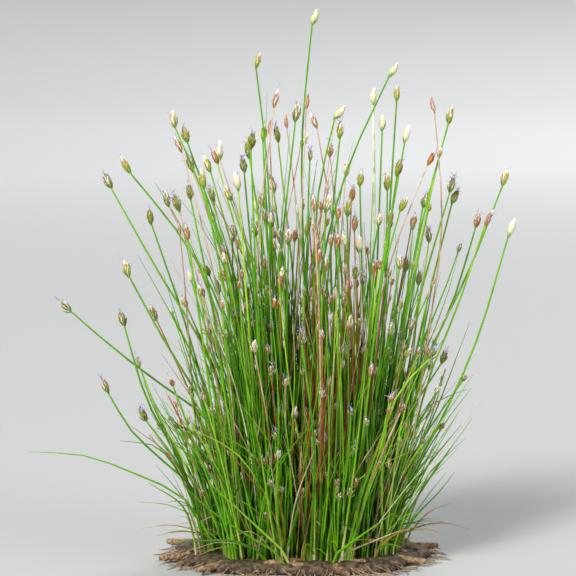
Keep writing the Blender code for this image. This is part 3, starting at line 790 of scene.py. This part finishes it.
def growBetween(name, settings, shape):
    rng = random.Random(settings["seed"])
    (left, right), (front, back) = settings["across"], settings["deep"]
    paths = [alongPath(path, evenShares(shape["steps"])) for path in grownPaths
             if path[-1].z > shape["beside stems over"]
             and left < path[-1].x < right and front < path[-1].y < back]
    pieces = [newPiece() for _ in range(settings["pieces"])]
    for _ in range(settings["count"]):
        path = pathBetween(paths, shape, settings["height share"], rng)
        head = pick(rng, settings["heads"]) if rng.random() < shape["headed"] else ""
        around = math.atan2(path[0].y, path[0].x) / math.tau + 0.5
        piece = pieces[min(int(around * len(pieces)), len(pieces) - 1)]
        growStem(piece, path, pick(rng, settings["finishes"]), rng.random(), rng, bool(head),
                 rng.uniform(*shape["thickness"]))
        if head:
            axis = (path[-1] - path[-2]).normalized()
            growHead(piece, path[-1], axis, head, rng.random(), rng, rng.uniform(*shape["head size"]))
    for number, piece in enumerate(pieces, 1):
        finishPiece(piece, f"{name}_{number}", settings["slot"])
    print(name, "grown:", settings["count"])


for name, settings in innerGrowth.items():
    growBetween(name, settings, innerShape)


# Short leaves that arch out low around the foot of the tuft, young ones in it, and stems that lean across it
lowGrowth = {
    "foot_leaves": {
        "seed": 3,
        "count": 100,
        "around": (0, math.tau),  # the angles at which they start,
        "ring": (0.45, 0.95),  # and how far out to the rim of their oval
        "length": (9 * mm, 26 * mm),
        "lean": (0.35, 1.0),
        "droop": (0.7, 0.95),
        "turn": 0.7,  # how far they may turn from straight outwards
        "thickness": (0.6, 0.85),
        "finishes": {"green": 7, "lime": 6, "pale": 2, "straw": 2, "rust": 1},
    },
    "young_leaves": {
        "seed": 9,
        "count": 150,
        "around": (0, math.tau),
        "ring": (0.2, 0.98),
        "length": (9 * mm, 25 * mm),
        "lean": (0.05, 0.42),
        "droop": (0.0, 0.4),
        "turn": 2.0,
        "thickness": (0.7, 1.0),
        "finishes": {"lime": 8, "green": 4, "pale": 3},
    },
    "fanning_leaves": {  # only on the right
        "seed": 17,
        "count": 42,
        "around": (-0.9, 0.6),
        "ring": (0.62, 0.97),
        "length": (15 * mm, 36 * mm),
        "lean": (0.3, 0.64),
        "droop": (0.0, 0.35),
        "turn": 0.45,
        "thickness": (0.65, 0.9),
        "finishes": {"green": 6, "lime": 6, "straw": 2, "pale": 1, "rust": 1},
    },
    "leaning_stems": {
        "seed": 5,
        "count": 290,
        "around": (0, math.tau),
        "ring": (0.05, 0.85),
        "length": (24 * mm, 52 * mm),
        "lean": (0.25, 0.62),
        "droop": (0.1, 0.5),
        "turn": 2.2,
        "thickness": (0.65, 0.9),
        "finishes": {"green": 7, "lime": 5, "pale": 2, "straw": 2, "rust": 1},
    },
}
lowShape = {
    "half width": 24 * mm,
    "half depth": 15 * mm,
    "start height": 3.4 * mm,
    "stations": (0.3, 0.65, 1.0),  # the points of their curve after the foot, as shares of the length
    "rise": 1.25,
    "height without lean": 1.3,
    "limits": ((-52 * mm, 44 * mm), (-28 * mm, 25 * mm)),  # in X and Y, so that none leaves the tuft's box
    "steps": 4,
}


def growLow(name, settings, shape):
    rng = random.Random(settings["seed"])
    piece = newPiece()
    (left, right), (front, back) = shape["limits"]
    for _ in range(settings["count"]):
        angle, ring = rng.uniform(*settings["around"]), rng.uniform(*settings["ring"])
        foot = Vector((shape["half width"] * ring * math.cos(angle),
                       shape["half depth"] * ring * math.sin(angle), shape["start height"]))
        heading = angle + rng.uniform(-1, 1) * settings["turn"]
        outward = Vector((math.cos(heading), math.sin(heading), 0))
        length, lean, droop = (rng.uniform(*settings[word]) for word in ("length", "lean", "droop"))
        points = [foot]
        for out in shape["stations"]:
            up = (shape["rise"] * out - droop * out**2) * (shape["height without lean"] - lean)
            spot = foot + (outward * out * lean + Vector((0, 0, up))) * length
            spot.x = min(max(spot.x, left), right)
            spot.y = min(max(spot.y, front), back)
            points.append(spot)
        path, finish = smoothPath(points, shape["steps"]), pick(rng, settings["finishes"])
        growStem(piece, path, finish, rng.random(), rng, False, rng.uniform(*settings["thickness"]))
    finishPiece(piece, name, "green_stem")


for name, settings in lowGrowth.items():
    growLow(name, settings, lowShape)
print("low growth grown")


# The crown: dark matted roots, with rhizomes on them and rootlets at their rim
crownLooks = {
    "mat": {"name": "crown_mat", "dark": (0.035, 0.022, 0.012), "light": (0.15, 0.10, 0.055), "fibres": 900},
    "rhizome": {"name": "rhizome_skin", "dark": (0.16, 0.085, 0.04), "light": (0.40, 0.27, 0.15),
                "fibres": 1400},
    "rootlet": {"name": "rootlet_skin", "dark": (0.20, 0.12, 0.06), "light": (0.46, 0.34, 0.22),
                "fibres": 1800},
}
crownPattern = {
    "roughness": 0.8,
    "detail": 5,
    "light fibres": (0.38, 0.64),
    "spots": (260, 3),
    "dark spots": (0.52, 0.66),
    "spot share": 0.7,
    "spot colour": 0.4,  # of the dark colour
    "bump": 0.2 * mm,
    "bump strength": 0.8,
}
crownShape = {
    "half width": 28.0 * mm,
    "half depth": 18.5 * mm,
    "lobes": ((5, 0.035, 0.6), (9, 0.025, 2.0)),  # how many, how big, and where they start
    "sides": 96,
    # heights in mm, each with its share of the outline
    "rim": ((0.0, 0.975), (0.5, 0.995), (1.1, 1.0), (1.7, 0.985), (2.2, 0.955), (2.5, 0.91)),
    "top": (0.84, 0.76, 0.67, 0.58, 0.49, 0.4, 0.31, 0.22, 0.13),  # shares of the outline at one height
    "top height": 2.55 * mm,
    "rough patches": 1.6 * mm,
    "rough height": 0.32 * mm,
    "rough outline": 0.012,
}


def crownMaterial(look, pattern):
    material, shader, paint = newMaterial(look["name"], pattern["roughness"])
    fibres, spots = paint.mottle(look["fibres"], pattern["detail"]), paint.mottle(*pattern["spots"])
    colour = fibres.between(*pattern["light fibres"]).blend(look["dark"], look["light"])
    colour = colour.mixed(darkened(look["dark"], pattern["spot colour"]),
                          spots.between(*pattern["dark spots"]) * pattern["spot share"])
    connect(paint, colour, shader, fibres, pattern["bump"], pattern["bump strength"])
    return material


finishes.update({finish: crownMaterial(look, crownPattern) for finish, look in crownLooks.items()})


def ovalAt(angle, share):
    shape = crownShape
    lobes = 1 + sum(size * math.sin(number * angle + start) for number, size, start in shape["lobes"])
    rim = Vector((shape["half width"] * math.cos(angle), shape["half depth"] * math.sin(angle), 0))
    return rim * share * lobes


def growMat(shape):
    # the mat, flat underneath and rough on top
    piece = newPiece()
    bm = piece["bm"]
    face = firstFace(bm, shape["sides"])
    angles = [math.atan2(vert.co.y, vert.co.x) for vert in face.verts]
    levels = [(height * mm, share) for height, share in shape["rim"]]
    levels += [(shape["top height"], share) for share in shape["top"]]
    for level, (height, share) in enumerate(levels):
        if level:
            face = nextFace(bm, face, level)
        for vert, angle in zip(face.verts, angles):
            spot = ovalAt(angle, share)
            rough = noise.noise(spot / shape["rough patches"] + Vector((0, 0, height / mm)))
            vert.co = spot * (1 + shape["rough outline"] * rough)
            vert.co.z = height + (shape["rough height"] * rough if level > 1 else 0)
    bmesh.ops.poke(bm, faces=[face])
    finishFaces(piece, bm.verts, "mat", 0.5)
    finishPiece(piece, "crown_mat", "rhizome", "crown")


growMat(crownShape)

rhizomeShape = {
    "seed": 21,
    "count": 34,
    "sides": 8,
    "steps": 6,
    "radius": (0.42 * mm, 0.66 * mm),
    "length": (9 * mm, 24 * mm),
    "starts": (0.1, 0.85),
    "bends": 4,
    "bend": 0.5,
    "height": 2.75 * mm,
    "height varies": (-0.5 * mm, 0.25 * mm),
    "kept inside": 0.93,  # of the crown's outline
    "least step": 0.5 * mm,
    "joint every": 2.6 * mm,
    "joint length": 0.12,  # on either side, of the way to the next joint
    "joint": 1.22,  # the radius at a joint and at the two ends, as shares of the radius between them
    "first end": 0.6,
    "last end": 0.75,
}
cutEnds = {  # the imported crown's cut ends of rhizome, which a jointed one covers
    "rim faces": 32,
    "at faces": (1, 4, 9, 13, 17, 20, 25, 29),
    "radius": 0.72 * mm,
    "from": 0.86,  # of the crown's outline
    "from height": 2.0 * mm,
    "reach": 4.4 * mm,
    "elbow": 0.4,  # of the reach
    "height": 1.45 * mm,
}


def growRhizome(piece, points, radius, rng):
    # a jointed tube that thickens a little at each joint
    shape = rhizomeShape
    path = smoothPath(points, shape["steps"])
    joints = max(2, round(lengthsAlong(path)[-1] / shape["joint every"]))
    shares, radii = [0.0], [radius * shape["first end"]]
    for joint in range(joints):
        middle = (joint + 0.5) / joints
        shares += [middle - shape["joint length"] / joints, middle, middle + shape["joint length"] / joints]
        radii += [radius, radius * shape["joint"], radius]
    shares.append(1.0)
    radii.append(radius * shape["last end"])
    growTube(piece, alongPath(path, shares), radii, "rhizome", rng.random(), shape["sides"])


def growCreeping(piece, shape, rng):
    # a rhizome that winds over the mat, and along its rim where it would pass it
    angle, share = rng.uniform(0, math.tau), rng.uniform(*shape["starts"])
    spot, heading = ovalAt(angle, share), rng.uniform(0, math.tau)
    length = rng.uniform(*shape["length"])
    points = []
    for _ in range(shape["bends"] + 1):
        points.append(spot + Vector((0, 0, shape["height"] + rng.uniform(*shape["height varies"]))))
        heading += rng.uniform(-1, 1) * shape["bend"]
        ahead = spot + Vector((math.cos(heading), math.sin(heading), 0)) * length / shape["bends"]
        aheadAngle = math.atan2(ahead.y / crownShape["half depth"], ahead.x / crownShape["half width"])
        edge = ovalAt(aheadAngle, shape["kept inside"])
        spot = ahead if ahead.length < edge.length else edge
    spaced = [points[0]]
    spaced += [end for start, end in zip(points, points[1:]) if (end - start).length > shape["least step"]]
    growRhizome(piece, spaced, rng.uniform(*shape["radius"]), rng)


def growCutEnd(piece, shape, index, rng):
    # a short rhizome from the mat out over its rim
    angle = -math.pi + (index + 0.5) / shape["rim faces"] * math.tau
    rim = ovalAt(angle, 1)
    outward = rim.normalized() * shape["reach"]
    points = [ovalAt(angle, shape["from"]), rim + outward * shape["elbow"], rim + outward]
    for point, height in zip(points, (shape["from height"], shape["height"], shape["height"])):
        point.z = height
    growRhizome(piece, points, shape["radius"], rng)


def growRhizomes(creeping, cut):
    rng = random.Random(creeping["seed"])
    piece = newPiece()
    for _ in range(creeping["count"]):
        growCreeping(piece, creeping, rng)
    for index in cut["at faces"]:
        growCutEnd(piece, cut, index, rng)
    finishPiece(piece, "rhizomes", "rhizome")


growRhizomes(rhizomeShape, cutEnds)

rootletShape = {
    "seed": 8,
    "count": 300,
    "sides": 4,
    "steps": 2,
    "length": (3 * mm, 8 * mm),
    "radius": (0.08 * mm, 0.15 * mm),
    "starts": (0.86, 0.97),
    "start height": (0.6 * mm, 2.2 * mm),
    "turn": 0.9,
    "bends": 4,
    "bend": 0.7,
    "drop": (0.2 * mm, 0.9 * mm),
    "lowest": 0.2 * mm,
    "tip": (0.7, 0.3),  # the radii of the last two sections, as shares of the others
}


def growRootlets(shape):
    rng = random.Random(shape["seed"])
    piece = newPiece()
    for _ in range(shape["count"]):
        angle, share = rng.uniform(0, math.tau), rng.uniform(*shape["starts"])
        spot = ovalAt(angle, share)
        spot.z = rng.uniform(*shape["start height"])
        heading = math.atan2(spot.y, spot.x) + rng.uniform(-1, 1) * shape["turn"]
        length = rng.uniform(*shape["length"])
        points = [spot]
        for _ in range(shape["bends"]):
            heading += rng.uniform(-1, 1) * shape["bend"]
            spot = spot + Vector((math.cos(heading), math.sin(heading), 0)) * length / shape["bends"]
            spot.z = max(spot.z - rng.uniform(*shape["drop"]), shape["lowest"])
            points.append(spot)
        path, radius = smoothPath(points, shape["steps"]), rng.uniform(*shape["radius"])
        radii = [radius] * (len(path) - len(shape["tip"])) + [radius * share for share in shape["tip"]]
        growTube(piece, path, radii, "rootlet", rng.random(), shape["sides"])
    finishPiece(piece, "rootlets", "rhizome")


growRootlets(rootletShape)
print("crown grown")


# The studio
studio = {
    "sides": 96,
    "floor radius": 2.0,
    "bend": 2.6,
    "bend steps": 8,
    "wall height": 4.5,
    "roughness": 0.9,
    "floor colour": (0.46, 0.465, 0.47),
    "wall colour": (0.66, 0.665, 0.67),
    "lighter": (0.5, 2.6),  # the floor gets lighter from here to here, as the light on it gets weaker
    "world": 0.24,
    "world colour": (0.92, 0.95, 1.0),
    "lights": (  # name, place, size, power and colour
        ("key", (-1.5, -2.0, 1.9), 0.7, 118, (1.0, 0.98, 0.94)),
        ("fill", (2.1, -1.3, 1.0), 1.2, 22, (0.94, 0.97, 1.0)),
        ("rim", (0.8, 2.1, 1.8), 1.0, 44, (1.0, 1.0, 1.0)),
    ),
    "lit": Vector((0, 0, 50)) * mm,  # where the lights point
}
camera = {
    "from": Vector((-2.6, -480, 110)) * mm,
    "to": Vector((-2.6, 0, 60.5)) * mm,
    "lens": 137,
    "sensor": 36,
}


def aim(item, place, target):
    item.location = place
    item.rotation_euler = (target - item.location).to_track_quat("-Z", "Y").to_euler()
    bpy.context.scene.collection.objects.link(item)


def floorMaterial(settings):
    material, shader, paint = newMaterial("studio_floor", settings["roughness"])
    distance = paint.node("ShaderNodeVectorMath", {"operation": "LENGTH"}, {0: paint.place()}, "Value")
    colour = distance.between(*settings["lighter"]).blend(settings["floor colour"], settings["wall colour"])
    connect(paint, colour, shader)
    return material


def buildFloor(settings):
    # a round floor that bends up into a wall, open at the top
    bm, bend = bmesh.new(), settings["bend"]
    face = firstFace(bm, settings["sides"], settings["floor radius"])
    for k in range(1, settings["bend steps"] + 1):
        angle = math.pi / 2 * k / settings["bend steps"]
        face = nextFace(bm, face, k)
        for vert in face.verts:
            flat = Vector((vert.co.x, vert.co.y, 0)).normalized()
            vert.co = flat * (settings["floor radius"] + bend * math.sin(angle))
            vert.co.z = bend * (1 - math.cos(angle))
    face = bmesh.ops.extrude_discrete_faces(bm, faces=[face])["faces"][0]
    for vert in face.verts:
        vert.co.z = settings["wall height"]
    bmesh.ops.delete(bm, geom=[face], context="FACES_ONLY")
    for side in bm.faces:
        side.smooth = True
    mesh = bpy.data.meshes.new("studio_floor")
    bm.to_mesh(mesh)
    bm.free()
    mesh.materials.append(floorMaterial(settings))
    floor = bpy.data.objects.new("studio_floor", mesh)
    bpy.context.scene.collection.objects.link(floor)


def buildLights(settings):
    for name, place, size, power, colour in settings["lights"]:
        light = bpy.data.lights.new(name, "AREA")
        light.size, light.energy, light.color = size, power, colour
        aim(bpy.data.objects.new(name, light), place, settings["lit"])
    world = bpy.data.worlds.new("studio")
    world.use_nodes = True
    world.node_tree.nodes["Background"].inputs["Color"].default_value = (*settings["world colour"], 1)
    world.node_tree.nodes["Background"].inputs["Strength"].default_value = settings["world"]
    bpy.context.scene.world = world
    bpy.context.scene.view_settings.view_transform = "Standard"


def buildCamera(settings):
    lens = bpy.data.cameras.new("camera")
    lens.lens, lens.sensor_width = settings["lens"], settings["sensor"]
    eye = bpy.data.objects.new("camera", lens)
    aim(eye, settings["from"], settings["to"])
    bpy.context.scene.camera = eye


buildFloor(studio)
buildLights(studio)
buildCamera(camera)
print("studio built")
